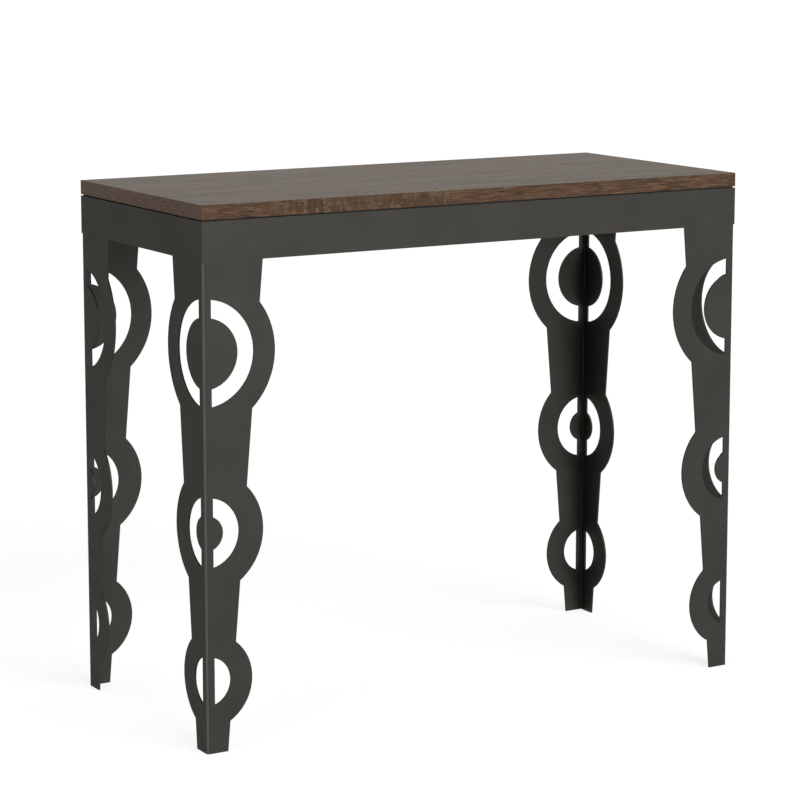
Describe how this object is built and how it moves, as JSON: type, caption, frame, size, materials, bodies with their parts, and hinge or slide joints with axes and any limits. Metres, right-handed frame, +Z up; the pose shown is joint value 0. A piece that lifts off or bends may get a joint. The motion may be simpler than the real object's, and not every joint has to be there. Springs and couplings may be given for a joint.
{
  "type": "extending console table",
  "caption": "Narrow oak-topped console on folded steel legs with cut rings; its front half pulls out on telescopic rails to make a long table.",
  "frame": {"origin": "on the floor under the middle of the closed table", "axes": "+X along the length, +Y towards the wall at the rear half, +Z up"},
  "size_m": [0.9, 0.4, 0.768],
  "materials": {
    "oak_laminate": "matt oak-faced panel",
    "oak_edging": "matt oak edging",
    "anthracite_coat": "matt fine-textured powder coat",
    "aluminium_rail": "plain extruded",
    "nylon": "natural nylon",
    "zinc_steel": "zinc plated",
    "rubber_strip": "black foam rubber",
    "beech": "plain turned beech"
  },
  "bodies": {
    "rear_half": {"hook_pivots": "zinc_steel", "left_rail_1": "aluminium_rail", "rear_apron": "anthracite_coat", "rear_frame_fasteners": "zinc_steel", "rear_left_leg": "anthracite_coat", "rear_left_side_apron": "anthracite_coat", "rear_leg_brackets": "anthracite_coat", "rear_rail_bolts": "zinc_steel", "rear_rail_brackets": "zinc_steel", "rear_rail_glides": "nylon", "rear_right_leg": "anthracite_coat", "rear_right_side_apron": "anthracite_coat", "rear_spacer_strip": "rubber_strip", "rear_top": "oak_laminate", "rear_top_edging": "oak_edging", "rear_top_screws": "zinc_steel", "rear_top_support": "anthracite_coat", "right_rail_1": "aluminium_rail"},
    "front_half": {"alignment_dowels": "beech", "front_apron": "anthracite_coat", "front_frame_fasteners": "zinc_steel", "front_left_leg": "anthracite_coat", "front_left_side_apron": "anthracite_coat", "front_leg_brackets": "anthracite_coat", "front_rail_bolts": "zinc_steel", "front_rail_brackets": "zinc_steel", "front_rail_glides": "nylon", "front_right_leg": "anthracite_coat", "front_right_side_apron": "anthracite_coat", "front_spacer_strip": "rubber_strip", "front_top": "oak_laminate", "front_top_edging": "oak_edging", "front_top_screws": "zinc_steel", "front_top_support": "anthracite_coat", "keeper_pins": "zinc_steel", "left_rail_7": "aluminium_rail", "right_rail_7": "aluminium_rail"},
    "left_stage_2": {"left_rail_2": "aluminium_rail", "left_rail_2_glides": "nylon"},
    "left_stage_3": {"left_rail_3": "aluminium_rail", "left_rail_3_glides": "nylon"},
    "left_stage_4": {"left_rail_4": "aluminium_rail", "left_rail_4_glides": "nylon"},
    "left_stage_5": {"left_rail_5": "aluminium_rail", "left_rail_5_glides": "nylon"},
    "left_stage_6": {"left_rail_6": "aluminium_rail", "left_rail_6_glides": "nylon"},
    "right_stage_2": {"right_rail_2": "aluminium_rail", "right_rail_2_glides": "nylon"},
    "right_stage_3": {"right_rail_3": "aluminium_rail", "right_rail_3_glides": "nylon"},
    "right_stage_4": {"right_rail_4": "aluminium_rail", "right_rail_4_glides": "nylon"},
    "right_stage_5": {"right_rail_5": "aluminium_rail", "right_rail_5_glides": "nylon"},
    "right_stage_6": {"right_rail_6": "aluminium_rail", "right_rail_6_glides": "nylon"},
    "left_hook": {"left_hook": "zinc_steel"},
    "right_hook": {"right_hook": "zinc_steel"}
  },
  "joints": [
    {"name": "extension", "type": "slide", "parent": "rear_half", "child": "front_half", "axis": [0, -1, 0], "range_m": [0, 1.56]},
    {"name": "left_rail_2_slide", "type": "slide", "parent": "rear_half", "child": "left_stage_2", "axis": [0, -1, 0], "range_m": [0, 0.26]},
    {"name": "left_rail_3_slide", "type": "slide", "parent": "left_stage_2", "child": "left_stage_3", "axis": [0, -1, 0], "range_m": [0, 0.26]},
    {"name": "left_rail_4_slide", "type": "slide", "parent": "left_stage_3", "child": "left_stage_4", "axis": [0, -1, 0], "range_m": [0, 0.26]},
    {"name": "left_rail_5_slide", "type": "slide", "parent": "left_stage_4", "child": "left_stage_5", "axis": [0, -1, 0], "range_m": [0, 0.26]},
    {"name": "left_rail_6_slide", "type": "slide", "parent": "left_stage_5", "child": "left_stage_6", "axis": [0, -1, 0], "range_m": [0, 0.26]},
    {"name": "right_rail_2_slide", "type": "slide", "parent": "rear_half", "child": "right_stage_2", "axis": [0, -1, 0], "range_m": [0, 0.26]},
    {"name": "right_rail_3_slide", "type": "slide", "parent": "right_stage_2", "child": "right_stage_3", "axis": [0, -1, 0], "range_m": [0, 0.26]},
    {"name": "right_rail_4_slide", "type": "slide", "parent": "right_stage_3", "child": "right_stage_4", "axis": [0, -1, 0], "range_m": [0, 0.26]},
    {"name": "right_rail_5_slide", "type": "slide", "parent": "right_stage_4", "child": "right_stage_5", "axis": [0, -1, 0], "range_m": [0, 0.26]},
    {"name": "right_rail_6_slide", "type": "slide", "parent": "right_stage_5", "child": "right_stage_6", "axis": [0, -1, 0], "range_m": [0, 0.26]},
    {"name": "left_hook_swing", "type": "hinge", "parent": "rear_half", "child": "left_hook", "pos_m": [-0.2, 0.0243, 0.7427], "axis": [0, 0, -1], "range_deg": [0, 90]},
    {"name": "right_hook_swing", "type": "hinge", "parent": "rear_half", "child": "right_hook", "pos_m": [0.2, 0.0243, 0.7427], "axis": [0, 0, 1], "range_deg": [0, 90]}
  ],
  "couplings": [
    {"joint": "left_rail_2_slide", "follows": "extension", "ratio": 0.16667},
    {"joint": "left_rail_3_slide", "follows": "extension", "ratio": 0.16667},
    {"joint": "left_rail_4_slide", "follows": "extension", "ratio": 0.16667},
    {"joint": "left_rail_5_slide", "follows": "extension", "ratio": 0.16667},
    {"joint": "left_rail_6_slide", "follows": "extension", "ratio": 0.16667},
    {"joint": "right_rail_2_slide", "follows": "extension", "ratio": 0.16667},
    {"joint": "right_rail_3_slide", "follows": "extension", "ratio": 0.16667},
    {"joint": "right_rail_4_slide", "follows": "extension", "ratio": 0.16667},
    {"joint": "right_rail_5_slide", "follows": "extension", "ratio": 0.16667},
    {"joint": "right_rail_6_slide", "follows": "extension", "ratio": 0.16667}
  ]
}
